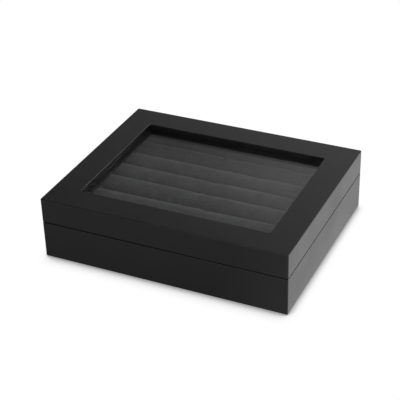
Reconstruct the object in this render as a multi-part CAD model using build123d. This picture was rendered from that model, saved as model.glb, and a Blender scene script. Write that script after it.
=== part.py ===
from build123d import *
import math
import os

# Cufflink display box: a black lacquered wooden box with seven padded rolls under a hinged,
# glazed lid.  +X runs along the length, +Y towards the hinged back and +Z up.  The origin is
# the centre of the carcass on the table, under the felt.  All sizes are in millimetres.

# ---- Carcass ---------------------------------------------------------------------------
box_length = 203.0          # outside, along X
box_depth = 165.0           # outside, along Y
wall = 10.0                 # thickness of the four sides of base and lid
felt_sheet = 0.8            # felt under the base, which the box stands on
felt_inset = 2.5            # how far the felt stays inside the outline
felt_corner = 2.0           # corner radius of the felt
base_side = 30.85           # height of the base's sides, above the felt
seam_gap = 0.7              # slit between the base's rim and the lid's rim
lid_side = 15.35            # height of the lid's sides, under its top panel
lid_panel = 4.8             # thickness of the lid's top panel
corner_round = 1.2          # upright corners
top_round = 0.6             # outer edge of the top panel
seam_round = 0.35           # eased edges either side of the seam
foot_round = 0.5            # bottom edge of the base

# ---- Bottom panel ----------------------------------------------------------------------
bottom_panel = 3.0          # thickness, let into a rabbet
rabbet_width = 5.0          # how far the rabbet reaches under each wall
panel_play = 0.15           # all round, in the rabbet

# ---- Window in the lid -----------------------------------------------------------------
frame_width = 23.0          # from the outside of the lid to the window, on all four sides
window_corner = 2.2         # routed inside corners
window_round = 0.35         # eased upper edge of the window
glass_thickness = 3.0
glass_lap = 5.0             # how far the glass reaches under the panel
glass_corner = 1.0
glass_play = 0.25           # all round, between the glass and the beads
bead_lip = 5.6              # thickness of the beads under the glass
bead_setback = 0.8          # the beads stay this far behind the window's edge
bead_play = 0.1             # between the beads and the lid's sides

# ---- Fabric linings and roll insert ----------------------------------------------------
liner = 1.2                 # covered card on the inside of the walls
liner_drop = 1.0            # the linings stop this far short of each rim
liner_play = 0.1            # end joints of the linings
insert_floor = 1.5          # covered card under the rolls
insert_play = 0.25          # between the insert and the linings
roll_count = 7
roll_gap = 0.3              # between neighbouring rolls
roll_height = 25.0          # above the insert's floor
roll_draw_in = 0.6          # each side of a roll draws in by this much down to its floor
roll_end_round = 1.8        # where the cover folds over the roll's ends
roll_cover = 0.8            # thickness of the cover, which its core fills

# ---- Hinges ----------------------------------------------------------------------------
hinge_inset = 41.5          # from each end of the box to the middle of its hinge
hinge_length = 26.0
leaf_width = 8.0            # how far a leaf reaches in over the rim
leaf_thickness = 0.9
leaf_gap = 0.2              # between the closed leaves
barrel_radius = 1.8
barrel_standoff = 2.1       # from the back of the box to the hinge's axis
barrel_clearance = 0.1      # between a barrel and the edge of the other leaf
knuckle_gap = 0.15          # between neighbouring knuckles
pin_radius = 0.9
pin_clearance = 0.05        # radial, between pin and knuckle
pin_head_radius = 1.4
pin_head = 0.6
open_angle = 100.0          # where the squared knuckles stop the lid
stop_clearance = 0.02       # left between a knuckle's flat and the leaf at full travel
stop_reach = 0.1            # how far the flat runs past the leaf's edge
mortise_play = 0.1          # at the ends of a leaf
mortise_inner_play = 0.1    # at the leaf's inner edge
screw_spread = 7.5          # from the middle of a hinge to its screws
screw_inset = 4.2           # from the back of the box to the screws
screw_head_radius = 1.5
screw_head = 0.75
screw_shank_radius = 0.8
screw_shank = 3.6           # straight part under the head
screw_point = 1.2
screw_clearance = 0.05
cross_slot = 0.4            # width of the cross recess
cross_reach = 1.6           # span of the cross recess
cross_depth = 0.45

# ---- Rim bumpers -----------------------------------------------------------------------
bumper_radius = 3.0
bumper_inset = 5.0          # from the outside of the box to a bumper's centre

# ---- Derived levels and outlines -------------------------------------------------------
base_bottom = felt_sheet
base_rim = base_bottom + base_side
seam_level = base_rim + seam_gap / 2
lid_rim = base_rim + seam_gap
panel_under = lid_rim + lid_side
panel_top = panel_under + lid_panel
floor_level = base_bottom + bottom_panel
insert_top = floor_level + insert_floor
inside_length = box_length - 2 * wall
inside_depth = box_depth - 2 * wall
lined_length = inside_length - 2 * liner
lined_depth = inside_depth - 2 * liner
window_length = box_length - 2 * frame_width
window_depth = box_depth - 2 * frame_width
glass_top = panel_under
glass_under = glass_top - glass_thickness
bead_under = glass_under - bead_lip
roll_length = lined_length - 2 * insert_play
roll_pitch = (lined_depth - 2 * insert_play) / roll_count
roll_width = roll_pitch - roll_gap
back_face = box_depth / 2
axis_y = back_face + barrel_standoff
leaf_edge = barrel_radius + barrel_clearance    # from the axis to the free edge of a leaf
hinge_middle = box_length / 2 - hinge_inset     # from the middle of the box to a hinge's middle
SIDES = ("front", "back", "left", "right")


def block(low, high):
    """A block between two opposite corners."""
    size = [b - a for a, b in zip(low, high)]
    middle = [(a + b) / 2 for a, b in zip(low, high)]
    return Pos(*middle) * Box(*size)


def plate(outline, low, high):
    """A flat outline raised from one level to another."""
    return extrude(Plane.XY.offset(low) * outline, amount=high - low)


def top_loop(solid):
    """The outer edges of the highest face."""
    return solid.faces().sort_by(Axis.Z)[-1].outer_wire().edges()


def bottom_loop(solid):
    """The outer edges of the lowest face."""
    return solid.faces().sort_by(Axis.Z)[0].outer_wire().edges()


def mitred(ring, length, depth, reach):
    """Saws a rectangular ring into four sides along its 45 degree mitres.

    Each wedge is a trapezium that runs from reach outside the ring's outline to reach inside it.
    """
    x_out, y_out = length / 2 + reach, depth / 2 + reach
    x_in, y_in = length / 2 - reach, depth / 2 - reach
    front = [(-x_out, -y_out), (x_out, -y_out), (x_in, -y_in), (-x_in, -y_in)]
    left = [(-x_out, -y_out), (-x_in, -y_in), (-x_in, y_in), (-x_out, y_out)]
    wedge = {}
    for side, corners in (("front", front), ("left", left)):
        wedge[side] = plate(make_face(Polyline(*corners, close=True)), 0, panel_top)
    wedge["back"] = mirror(wedge["front"], Plane.XZ)
    wedge["right"] = mirror(wedge["left"], Plane.YZ)
    return {side: ring & wedge[side] for side in SIDES}


# ---- Wooden carcass --------------------------------------------------------------------
def base_walls():
    """The base's four mitred sides, with a rabbet for the bottom panel."""
    outline = RectangleRounded(box_length, box_depth, corner_round) - Rectangle(inside_length, inside_depth)
    ring = plate(outline, base_bottom, base_rim)
    ring = fillet(top_loop(ring), seam_round)
    ring = fillet(bottom_loop(ring), foot_round)
    rabbet = Rectangle(inside_length + 2 * rabbet_width, inside_depth + 2 * rabbet_width)
    ring -= plate(rabbet, base_bottom, floor_level)
    return mitred(ring, box_length, box_depth, 2 * wall)


def lid_walls():
    """The lid's four mitred sides."""
    outline = RectangleRounded(box_length, box_depth, corner_round) - Rectangle(inside_length, inside_depth)
    ring = plate(outline, lid_rim, panel_under)
    ring = fillet(bottom_loop(ring), seam_round)
    return mitred(ring, box_length, box_depth, 2 * wall)


def top_panel():
    """The lid's top, one board with the window routed through it."""
    board = plate(RectangleRounded(box_length, box_depth, corner_round), panel_under, panel_top)
    board = fillet(top_loop(board), top_round)
    board -= plate(RectangleRounded(window_length, window_depth, window_corner), panel_under, panel_top)
    window_edge = board.faces().sort_by(Axis.Z)[-1].inner_wires()[0].edges()
    return fillet(window_edge, window_round)


def bottom_board():
    """The board in the base's rabbet."""
    reach = 2 * (rabbet_width - panel_play)
    return plate(Rectangle(inside_length + reach, inside_depth + reach), base_bottom, floor_level)


def felt_pad():
    """The felt sheet under the base."""
    outline = RectangleRounded(box_length - 2 * felt_inset, box_depth - 2 * felt_inset, felt_corner)
    return plate(outline, 0, felt_sheet)


# ---- Window ----------------------------------------------------------------------------
def glass_pane():
    """The pane, under the panel and held up by the beads."""
    outline = RectangleRounded(window_length + 2 * glass_lap, window_depth + 2 * glass_lap, glass_corner)
    return plate(outline, glass_under, glass_top)


def window_beads():
    """Four lacquered, mitred strips that hold the glass against the panel."""
    outer_length, outer_depth = inside_length - 2 * bead_play, inside_depth - 2 * bead_play
    opening = Rectangle(window_length + 2 * bead_setback, window_depth + 2 * bead_setback)
    ring = plate(Rectangle(outer_length, outer_depth) - opening, bead_under, glass_top)
    reach = 2 * (glass_lap + glass_play)
    ring -= plate(Rectangle(window_length + reach, window_depth + reach), glass_under, glass_top)
    return mitred(ring, outer_length, outer_depth, frame_width)


# ---- Linings and insert ----------------------------------------------------------------
def linings(low, high):
    """Four covered strips on the insides of the walls, between two levels."""
    x, y = inside_length / 2, inside_depth / 2
    end = y - liner - liner_play
    front = block((-x + liner_play, -y, low), (x - liner_play, -y + liner, high))
    left = block((-x, -end, low), (-x + liner, end, high))
    return {"front": front, "back": mirror(front, Plane.XZ), "left": left, "right": mirror(left, Plane.YZ)}


def insert_board():
    """The covered card that the rolls are glued to."""
    outline = Rectangle(lined_length - 2 * insert_play, lined_depth - 2 * insert_play)
    return plate(outline, floor_level, insert_top)


def roll_body(shrink):
    """A flat-bottomed roll with a round crown, at the origin, smaller all round by shrink.

    Its sides run from the narrow foot up to where they meet the crown's circle at a tangent.
    """
    crown = roll_width / 2 - shrink
    foot = crown - roll_draw_in
    centre = roll_height - roll_width / 2
    lean = math.acos(crown / math.hypot(foot, centre)) - math.atan2(centre, foot)
    side_y, side_z = crown * math.cos(lean), centre + crown * math.sin(lean)
    lean_degrees = math.degrees(lean)
    outline = [
        Line((-foot, 0), (foot, 0)),
        Line((foot, 0), (side_y, side_z)),
        CenterArc((0, centre), crown, lean_degrees, 90 - lean_degrees),
        CenterArc((0, centre), crown, 90, 90 - lean_degrees),
        Line((-side_y, side_z), (-foot, 0)),
    ]
    length = roll_length - 2 * shrink
    body = extrude(Plane.YZ.offset(-length / 2) * make_face(outline), amount=length)
    ends = body.faces().filter_by(Axis.X)
    folds = [edge for end in ends for edge in end.edges().sort_by(Axis.Z)[1:]]
    return fillet(folds, roll_end_round - shrink)


def roll_pieces():
    """The foam core and the fabric cover of one roll, at the origin."""
    core = roll_body(roll_cover)
    return core, roll_body(0) - core


# ---- Hinges ----------------------------------------------------------------------------
def knuckle(x_low, x_high, leaf_side):
    """One knuckle with its stop flat.  leaf_side is -1 on the base's leaf and +1 on the lid's.

    The barrel is round about the axis.  Its rear corner is squared, so that the flat lies
    parallel to the other leaf's free edge when the lid stands at open_angle.
    """
    barrel = Plane.YZ.offset(x_low) * Pos(axis_y, seam_level) * Circle(barrel_radius)
    body = extrude(barrel, amount=x_high - x_low)
    run = leaf_gap / 2 + leaf_thickness + stop_reach
    rise = leaf_edge - stop_clearance
    turn = 90 - open_angle
    corner = Pos(axis_y, seam_level) * Rot(0, 0, turn) * Pos(run / 2, rise / 2) * Rectangle(run, rise)
    flat = extrude(Plane.YZ.offset(x_low) * corner, amount=x_high - x_low)
    if leaf_side > 0:
        flat = mirror(flat, Plane.XY.offset(seam_level))
    return body + flat


def leaf(centre_x, leaf_side, knuckle_spans):
    """A hinge leaf with its knuckles, before its bore and screw holes."""
    low = seam_level + leaf_gap / 2 if leaf_side > 0 else seam_level - leaf_gap / 2 - leaf_thickness
    high = low + leaf_thickness
    x_low, x_high = centre_x - hinge_length / 2, centre_x + hinge_length / 2
    body = block((x_low, back_face - leaf_width, low), (x_high, axis_y - leaf_edge, high))
    for start, end in knuckle_spans:
        body += block((x_low + start, back_face - leaf_width, low), (x_low + end, axis_y, high))
        body += knuckle(x_low + start, x_low + end, leaf_side)
    bore = Plane.YZ.offset(x_low) * Pos(axis_y, seam_level) * Circle(pin_radius + pin_clearance)
    return body - extrude(bore, amount=hinge_length)


def turned_screw(grow):
    """A countersunk screw's outline turned about Z, head up at the origin, fatter by grow."""
    head, shank = screw_head_radius + grow, screw_shank_radius + grow
    neck = -screw_head - screw_shank
    outline = Polyline(
        (0, 0), (head, 0), (shank, -screw_head), (shank, neck), (0, neck - screw_point - grow), close=True
    )
    return revolve(Plane.XZ * make_face(outline), Axis.Z)


def screw():
    """A countersunk wood screw with a cross recess, head up at the origin."""
    arm = Box(cross_reach, cross_slot, 2 * cross_depth)
    return turned_screw(0) - arm - Rot(0, 0, 90) * arm


def screw_places(centre_x, leaf_side):
    """Where the screws of one leaf sit, with their heads flush with the leaf's free face."""
    level = seam_level + leaf_side * leaf_gap / 2
    flip = Rot(180, 0, 0) if leaf_side > 0 else Rot(0, 0, 0)
    return [Pos(centre_x + s * screw_spread, back_face - screw_inset, level) * flip for s in (-1, 1)]


def mortise(centre_x, leaf_side):
    """The shallow recess for a leaf in a rim."""
    half = hinge_length / 2 + mortise_play
    inner = back_face - leaf_width - mortise_inner_play
    outer = back_face + wall
    near, far = seam_level, seam_level + leaf_side * (leaf_gap / 2 + leaf_thickness)
    low, high = min(near, far), max(near, far)
    return block((centre_x - half, inner, low), (centre_x + half, outer, high))


def hinge(centre_x):
    """Both leaves, the pin and the screws of one hinge."""
    third = (hinge_length - 2 * knuckle_gap) / 3
    base_spans = [(0, third), (hinge_length - third, hinge_length)]
    lid_spans = [(third + knuckle_gap, 2 * third + knuckle_gap)]
    parts = {}
    for name, leaf_side, spans in (("base", -1, base_spans), ("lid", 1, lid_spans)):
        places = screw_places(centre_x, leaf_side)
        body = leaf(centre_x, leaf_side, spans)
        for place in places:
            body -= place * turned_screw(screw_clearance)
        parts[f"{name}_leaf"] = body
        parts[f"{name}_screws"] = Compound([place * screw() for place in places])
    parts["pin"] = hinge_pin(centre_x)
    return parts


def hinge_pin(centre_x):
    """The pin, with a peened head outside each outer knuckle."""
    half = hinge_length / 2 + pin_head
    start = Plane.YZ.offset(centre_x - half) * Pos(axis_y, seam_level)
    rod = extrude(start * Circle(pin_radius), amount=2 * half)
    heads = [
        extrude(Plane.YZ.offset(x) * Pos(axis_y, seam_level) * Circle(pin_head_radius), amount=pin_head)
        for x in (centre_x - half, centre_x + half - pin_head)
    ]
    return rod + heads[0] + heads[1]


def hinged_wall(wall_solid, leaf_side):
    """A back wall with its mortises and pilot holes."""
    for centre_x in (-hinge_middle, hinge_middle):
        wall_solid -= mortise(centre_x, leaf_side)
        for place in screw_places(centre_x, leaf_side):
            wall_solid -= place * turned_screw(screw_clearance)
    return wall_solid


def rim_bumpers():
    """Two thin dots on the base's front corners that keep the lacquered rims apart."""
    x, y = box_length / 2 - bumper_inset, -box_depth / 2 + bumper_inset
    dots = [Pos(s * x, y) * Circle(bumper_radius) for s in (-1, 1)]
    return Compound([plate(dot, base_rim, lid_rim) for dot in dots])


# ---- Assembly --------------------------------------------------------------------------
def all_nodes():
    """Every separate piece of the box under the name of its node."""
    nodes = {"base_felt_pad": felt_pad(), "base_bottom_panel": bottom_board()}
    base, lid = base_walls(), lid_walls()
    base["back"] = hinged_wall(base["back"], -1)
    lid["back"] = hinged_wall(lid["back"], 1)
    beads = window_beads()
    base_lining = linings(floor_level, base_rim - liner_drop)
    lid_lining = linings(lid_rim + liner_drop, bead_under)
    for side in SIDES:
        nodes[f"base_{side}_wall"] = base[side]
        nodes[f"lid_{side}_wall"] = lid[side]
        nodes[f"window_bead_{side}"] = beads[side]
        nodes[f"base_liner_{side}"] = base_lining[side]
        nodes[f"lid_liner_{side}"] = lid_lining[side]
    nodes["lid_top_panel"] = top_panel()
    nodes["window_glass"] = glass_pane()
    nodes["insert_floor"] = insert_board()
    core, cover = roll_pieces()
    for number in range(roll_count):
        place = Pos(0, (number - (roll_count - 1) / 2) * roll_pitch, insert_top)
        nodes[f"roll_core_{number + 1}"] = place * core
        nodes[f"roll_cover_{number + 1}"] = place * cover
    for side, centre_x in (("left", -hinge_middle), ("right", hinge_middle)):
        for name, piece in hinge(centre_x).items():
            nodes[f"hinge_{side}_{name}"] = piece
    nodes["rim_bumpers"] = rim_bumpers()
    return nodes


if __name__ == "__main__":
    os.makedirs("parts", exist_ok=True)
    for name, piece in all_nodes().items():
        export_step(piece, f"parts/{name}.step")
    print(f"outside {box_length} x {box_depth} x {panel_top} mm, roll pitch {roll_pitch:.2f} mm")
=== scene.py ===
"""Dresses the cufflink display box: black lacquer, a clear pane and seven padded rolls.

Everything is in metres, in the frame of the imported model: +X along the box's length, +Y towards
the hinged back, +Z up, and the origin on the table under the middle of the base.
"""

import logging
import math
from dataclasses import dataclass, field
from enum import Enum
from typing import Dict, Protocol, Sequence, Tuple

import bpy
import numpy as np
from mathutils import Matrix, Vector


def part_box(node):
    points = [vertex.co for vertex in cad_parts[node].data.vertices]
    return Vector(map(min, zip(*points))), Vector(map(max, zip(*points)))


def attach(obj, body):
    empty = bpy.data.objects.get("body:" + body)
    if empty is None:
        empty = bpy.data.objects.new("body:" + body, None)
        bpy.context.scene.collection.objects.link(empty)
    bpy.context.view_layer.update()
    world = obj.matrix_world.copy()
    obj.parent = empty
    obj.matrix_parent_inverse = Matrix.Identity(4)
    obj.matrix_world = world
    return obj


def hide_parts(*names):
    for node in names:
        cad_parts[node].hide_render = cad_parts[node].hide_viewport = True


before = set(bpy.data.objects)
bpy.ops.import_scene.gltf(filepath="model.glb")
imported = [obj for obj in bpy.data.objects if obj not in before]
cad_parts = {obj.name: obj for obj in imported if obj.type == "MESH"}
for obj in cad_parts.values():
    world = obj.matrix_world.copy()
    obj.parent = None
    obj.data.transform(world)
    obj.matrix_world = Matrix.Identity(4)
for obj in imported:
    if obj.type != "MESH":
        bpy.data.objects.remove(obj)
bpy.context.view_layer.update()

MM = 0.001
WINDOW_LAP = 5 * MM                 # how far the pane reaches past the window's edge
TINY = 1e-9                         # keeps a division by a length of nothing from failing
log = logging.getLogger("cufflink_box")

Triple = Tuple[float, float, float]
Colour = Triple
WHITE: Colour = (1.0, 1.0, 1.0)
LAMPS_AIM: Triple = (0.0, 0.0, 0.03)        # the middle of the box


class Body(Enum):
    """The two bodies that the hinge joins."""

    BASE = "base"
    LID = "lid"


class Side(Enum):
    """The four sides of the box, by name in the model."""

    FRONT = "front"
    BACK = "back"
    LEFT = "left"
    RIGHT = "right"

    @property
    def through(self) -> int:
        """The axis of the side's thickness: 1, which is Y, for the long sides, and 0 for the others."""
        return 1 if self in (Side.FRONT, Side.BACK) else 0

    @property
    def sign(self) -> float:
        """-1 for the sides at negative X or Y, and +1 for the other two."""
        return -1.0 if self in (Side.FRONT, Side.LEFT) else 1.0


# ---------------------------------------------------------------------------------------
# Finishes
# ---------------------------------------------------------------------------------------
class Bench:
    """The node tree of a new material or world, with short names for the nodes that are used."""

    def __init__(self, name: str, world: bool = False) -> None:
        """Starts with an output and the coordinates alone.

        Args:
            name: The material's or the world's name.
            world: Starts a world and not a material.
        """
        self.made = (bpy.data.worlds if world else bpy.data.materials).new(name)
        self.made.use_nodes = True
        self.tree = self.made.node_tree
        self.tree.nodes.clear()
        self.output = self.node("OutputWorld" if world else "OutputMaterial")
        self.coordinates = self.node("TexCoord")
        self.place = self.coordinates.outputs["Object"]

    def node(self, kind: str, operation: str = "", **inputs: object) -> bpy.types.Node:
        """Adds a node and fills or links its inputs.

        Args:
            kind: The node's type, without the leading ShaderNode.
            operation: What the node works out, if it is a Math or a Vector Math node.
            **inputs: Socket names, with underscores for spaces, and their values or sources.

        Returns:
            The new node.
        """
        made = self.tree.nodes.new("ShaderNode" + kind)
        if operation:
            made.operation = operation
        for key, value in inputs.items():
            self.join(made.inputs[key.replace("_", " ")], value)
        return made

    def join(self, socket: bpy.types.NodeSocket, value: object) -> None:
        """Links a source to a socket, or sets its value.

        Args:
            socket: The input socket.
            value: An output socket, a number, a vector, or a colour without its alpha.
        """
        if isinstance(value, bpy.types.NodeSocket):
            self.tree.links.new(value, socket)
        elif socket.type == "RGBA":
            socket.default_value = (*value, 1.0)
        else:
            socket.default_value = value

    def noise(self, size: float, detail: float = 2.0, stretch: Triple = (1.0, 1.0, 1.0),
              roughness: float = 0.5) -> bpy.types.NodeSocket:
        """A noise pattern on the piece's own coordinates.

        Args:
            size: The width of a typical blotch, in metres.
            detail: Octaves of finer noise.
            stretch: How far the pattern is drawn out along X, Y and Z.
            roughness: The share of the finer octaves.

        Returns:
            The noise value, about 0.3 to 0.7.
        """
        mapped = self.node("Mapping", Vector=self.place, Scale=tuple(1.0 / s for s in stretch))
        made = self.node("TexNoise", Vector=mapped.outputs[0], Scale=1.0 / size, Detail=detail,
                         Roughness=roughness)
        return made.outputs["Fac"]

    def between(self, value: bpy.types.NodeSocket, low: float, high: float,
                start: float = 0.3, end: float = 0.7, smooth: bool = False) -> bpy.types.NodeSocket:
        """Maps a pattern's range start to end onto low to high, clamped.

        Args:
            value: The pattern.
            low: The result at start.
            high: The result at end.
            start: The pattern's lower end.
            end: The pattern's upper end.
            smooth: Eases the result in and out, as a smooth step.

        Returns:
            The mapped value.
        """
        made = self.node("MapRange", Value=value, From_Min=start, From_Max=end, To_Min=low, To_Max=high)
        if smooth:
            made.interpolation_type = "SMOOTHSTEP"
        return made.outputs["Result"]

    def blend(self, amount: bpy.types.NodeSocket, first: object, second: object) -> bpy.types.NodeSocket:
        """A colour between two, by a pattern.

        Args:
            amount: 0 gives the first colour and 1 the second.
            first: The first colour, or its source.
            second: The second colour, or its source.

        Returns:
            The blended colour.
        """
        made = self.tree.nodes.new("ShaderNodeMix")
        made.data_type = "RGBA"
        self.join(made.inputs["Factor"], amount)
        sockets = [socket for socket in made.inputs if socket.type == "RGBA"]
        for socket, colour in zip(sockets, (first, second)):
            self.join(socket, colour)
        return next(socket for socket in made.outputs if socket.type == "RGBA")

    def step(self, operation: str, *terms: object) -> bpy.types.NodeSocket:
        """One step of arithmetic.

        Args:
            operation: The Math node's operation.
            *terms: The numbers or sources that it takes, in its order.

        Returns:
            The result.
        """
        made = self.node("Math", operation)
        for socket, term in zip(made.inputs, terms):
            self.join(socket, term)
        return made.outputs[0]

    def bump(self, height: bpy.types.NodeSocket, depth: float, below: object = None) -> bpy.types.NodeSocket:
        """A bump from a pattern.

        Args:
            height: The pattern, 0 to 1.
            depth: The height of 1, in metres.
            below: The normal that this bump lies on, if there is one.

        Returns:
            The bumped normal.
        """
        made = self.node("Bump", Height=height, Strength=1.0, Distance=depth)
        if below is not None:
            self.join(made.inputs["Normal"], below)
        return made.outputs["Normal"]

    def either(self, amount: bpy.types.NodeSocket, first: bpy.types.Node,
               second: bpy.types.Node) -> bpy.types.Node:
        """One of two shaders, or a mixture of them.

        Args:
            amount: 0 gives the first shader and 1 the second.
            first: The first shader.
            second: The second shader.

        Returns:
            The mixed shader.
        """
        made = self.node("MixShader", Fac=amount)
        for socket, shader in zip(made.inputs[1:], (first, second)):
            self.join(socket, shader.outputs[0])
        return made

    def show(self, shader: bpy.types.Node) -> bpy.types.ID:
        """Puts a shader on the output.

        Args:
            shader: The shader.

        Returns:
            The finished material or world.
        """
        self.join(self.output.inputs["Surface"], shader.outputs[0])
        return self.made

    def surface(self, **inputs: object) -> bpy.types.Material:
        """Puts a Principled shader on the output.

        Args:
            **inputs: Its sockets, as node() takes them.

        Returns:
            The finished material.
        """
        return self.show(self.node("BsdfPrincipled", **inputs))


class Finish(Protocol):
    """What the finishes below have in common."""

    name: str

    def material(self) -> bpy.types.Material:
        """Builds the material."""


@dataclass(frozen=True)
class Lacquer:
    """Sprayed black lacquer on smooth board, rubbed to a satin sheen; a painted highlight on the window's
    arris.
    """

    name: str = "satin_black_lacquer"
    dark: Colour = (0.0012, 0.0012, 0.0012)
    light: Colour = (0.0026, 0.0025, 0.0026)
    arris_highlight: Colour = (0.042, 0.042, 0.042)     # a painted highlight, lighter than the lacquer, along the window's arris
    roughness: Tuple[float, float] = (0.30, 0.38)
    index: float = 1.64
    arris: float = 0.35 * MM        # how far the painted highlight reaches down from the top
    cloud: float = 45 * MM          # soft blotches from rubbing out
    peel: float = 1.6 * MM          # orange peel of the sprayed coat
    peel_depth: float = 0.010 * MM
    haze: float = 0.25 * MM         # scratch pattern of the rubbing pad
    haze_depth: float = 0.0006 * MM
    rubbed: Triple = (5.0, 1.0, 1.0)        # the haze is drawn out along X

    def material(self) -> bpy.types.Material:
        """Builds the lacquer: cloudy roughness, orange peel, a fine rubbed haze and a painted arris
        highlight.

        Returns:
            The material.
        """
        bench = Bench(self.name)
        cloud = bench.noise(self.cloud, detail=3.0)
        haze = bench.noise(self.haze, detail=1.0, stretch=self.rubbed)
        peel = bench.noise(self.peel, detail=1.0)
        coat = bench.blend(cloud, self.dark, self.light)
        return bench.surface(
            # the window's arris gets a painted highlight, a lighter colour than the lacquer
            Base_Color=bench.blend(self.arris_highlight_mask(bench), coat, self.arris_highlight),
            Roughness=bench.between(cloud, *self.roughness),
            IOR=self.index,
            Normal=bench.bump(peel, self.peel_depth, bench.bump(haze, self.haze_depth)),
        )

    def arris_highlight_mask(self, bench: Bench) -> bpy.types.NodeSocket:
        """1 on the rounded top edge of the window, where the highlight is painted, and 0 elsewhere.

        A point counts where it is nearer the middle than the window's half length and half width
        with the rounding added, and between the rounding's foot and the top.

        Args:
            bench: The material's bench.

        Returns:
            The mask.
        """
        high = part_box("window_glass")[1]
        apart = bench.node("VectorMath", "ABSOLUTE", Vector=bench.place)
        parts = bench.node("SeparateXYZ", Vector=apart.outputs[0])
        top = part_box("lid_top_panel")[1].z
        tests = [
            bench.step("LESS_THAN", parts.outputs["X"], high.x - WINDOW_LAP + self.arris),
            bench.step("LESS_THAN", parts.outputs["Y"], high.y - WINDOW_LAP + self.arris),
            bench.step("GREATER_THAN", parts.outputs["Z"], top - self.arris),
        ]
        return bench.step("MULTIPLY", bench.step("MULTIPLY", tests[0], tests[1]), tests[2])


@dataclass(frozen=True)
class PileCloth:
    """A short-pile cloth, such as the velvet on the rolls or the lining's suedette."""

    name: str
    dark: Colour
    light: Colour
    sheen: float
    sheen_tint: Colour = (0.75, 0.75, 0.78)
    sheen_roughness: float = 0.45
    mottle: float = 9 * MM          # where the pile lies over one way or the other
    mottle_depth: float = 0.10 * MM
    mottle_share: float = 0.55      # of the colour's pattern, and the tufts have the rest
    tuft: float = 0.60 * MM         # tufts of pile
    tuft_depth: float = 0.10 * MM
    nap: float = 0.8 * MM           # specks where the nap is brushed up
    nap_contrast: float = 0.8
    roughness: float = 0.92
    index: float = 1.3

    def material(self) -> bpy.types.Material:
        """Builds the cloth: mottled colour, a tufted surface, brushed specks and a soft sheen.

        Returns:
            The material.
        """
        bench = Bench(self.name)
        mottle = bench.noise(self.mottle, detail=2.0, roughness=0.5)
        tuft = bench.noise(self.tuft, detail=2.0, roughness=0.7)
        nap = bench.noise(self.nap, detail=2.0, roughness=0.65)
        grain = bench.step("ADD", bench.between(mottle, 0.0, self.mottle_share),
                           bench.between(tuft, 0.0, 1.0 - self.mottle_share))
        speck = bench.between(nap, 1 - self.nap_contrast, 1 + self.nap_contrast)
        colour = bench.blend(grain, self.dark, self.light)
        cloth = bench.node("VectorMath", "SCALE", Vector=colour, Scale=speck)
        return bench.surface(
            Base_Color=cloth.outputs[0],
            Roughness=self.roughness,
            IOR=self.index,
            Sheen_Weight=self.sheen,
            Sheen_Roughness=self.sheen_roughness,
            Sheen_Tint=self.sheen_tint,
            Normal=bench.bump(tuft, self.tuft_depth, bench.bump(mottle, self.mottle_depth)),
        )


@dataclass(frozen=True)
class Felt:
    """Pressed wool felt under the base."""

    name: str = "pressed_felt"
    dark: Colour = (0.008, 0.008, 0.009)
    light: Colour = (0.028, 0.028, 0.03)
    fibre: float = 0.5 * MM
    fibre_depth: float = 0.12 * MM
    drawn: float = 4.0              # how much longer than wide a fibre's mark is
    contrast: Tuple[float, float] = (0.4, 0.75)     # the part of the pattern that the colours span
    pill: float = 4 * MM
    roughness: float = 0.95
    index: float = 1.3
    sheen: float = 0.25
    sheen_roughness: float = 0.6

    def material(self) -> bpy.types.Material:
        """Builds the felt: short crossing fibres and soft pills.

        Returns:
            The material.
        """
        bench = Bench(self.name)
        along = bench.noise(self.fibre, detail=3.0, stretch=(self.drawn, 1.0, 1.0), roughness=0.7)
        across = bench.noise(self.fibre, detail=3.0, stretch=(1.0, self.drawn, 1.0), roughness=0.7)
        pill = bench.noise(self.pill, detail=2.0)
        crossed = bench.step("MAXIMUM", along, across)
        return bench.surface(
            Base_Color=bench.blend(bench.between(crossed, 0.0, 1.0, *self.contrast), self.dark, self.light),
            Roughness=self.roughness,
            IOR=self.index,
            Sheen_Weight=self.sheen,
            Sheen_Roughness=self.sheen_roughness,
            Normal=bench.bump(crossed, self.fibre_depth, bench.bump(pill, self.fibre_depth)),
        )


@dataclass(frozen=True)
class Nickel:
    """Nickel-plated pressed steel, drawn along the hinge."""

    name: str = "plated_nickel"
    clean: Colour = (0.62, 0.60, 0.56)
    dull: Colour = (0.53, 0.51, 0.475)
    grain: float = 0.12 * MM
    grain_depth: float = 0.0012 * MM
    drawn: Triple = (30.0, 1.0, 1.0)        # the grain is drawn out along X
    handled: float = 5 * MM
    roughness: Tuple[float, float] = (0.26, 0.34)

    def material(self) -> bpy.types.Material:
        """Builds the plating: a drawn grain along X and duller handled spots.

        Returns:
            The material.
        """
        bench = Bench(self.name)
        grain = bench.noise(self.grain, detail=2.0, stretch=self.drawn)
        handled = bench.noise(self.handled, detail=2.0)
        return bench.surface(
            Base_Color=bench.blend(bench.between(handled, 0.0, 1.0), self.clean, self.dull),
            Metallic=1.0,
            Roughness=bench.between(handled, *self.roughness),
            Normal=bench.bump(grain, self.grain_depth),
        )


@dataclass(frozen=True)
class PaneGlass:
    """Clear float glass, which lamps shine through as through a window."""

    name: str = "clear_float_glass"
    tint: Colour = (0.985, 0.99, 0.988)
    passed: Colour = (0.88, 0.885, 0.882)
    index: float = 1.52

    def material(self) -> bpy.types.Material:
        """Builds the pane: refracting glass to the eye, and plain transparency to lamps.

        The light that reaches the cloth underneath passes straight through, less what the two
        faces of the pane throw back.

        Returns:
            The material.
        """
        bench = Bench(self.name)
        glass = bench.node("BsdfPrincipled", Base_Color=self.tint, Roughness=0.0, IOR=self.index,
                           Transmission_Weight=1.0)
        clear = bench.node("BsdfTransparent", Color=self.passed)
        path = bench.node("LightPath")
        to_lamps = bench.step("MAXIMUM", path.outputs["Is Shadow Ray"], path.outputs["Is Diffuse Ray"])
        return bench.show(bench.either(to_lamps, glass, clear))


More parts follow.
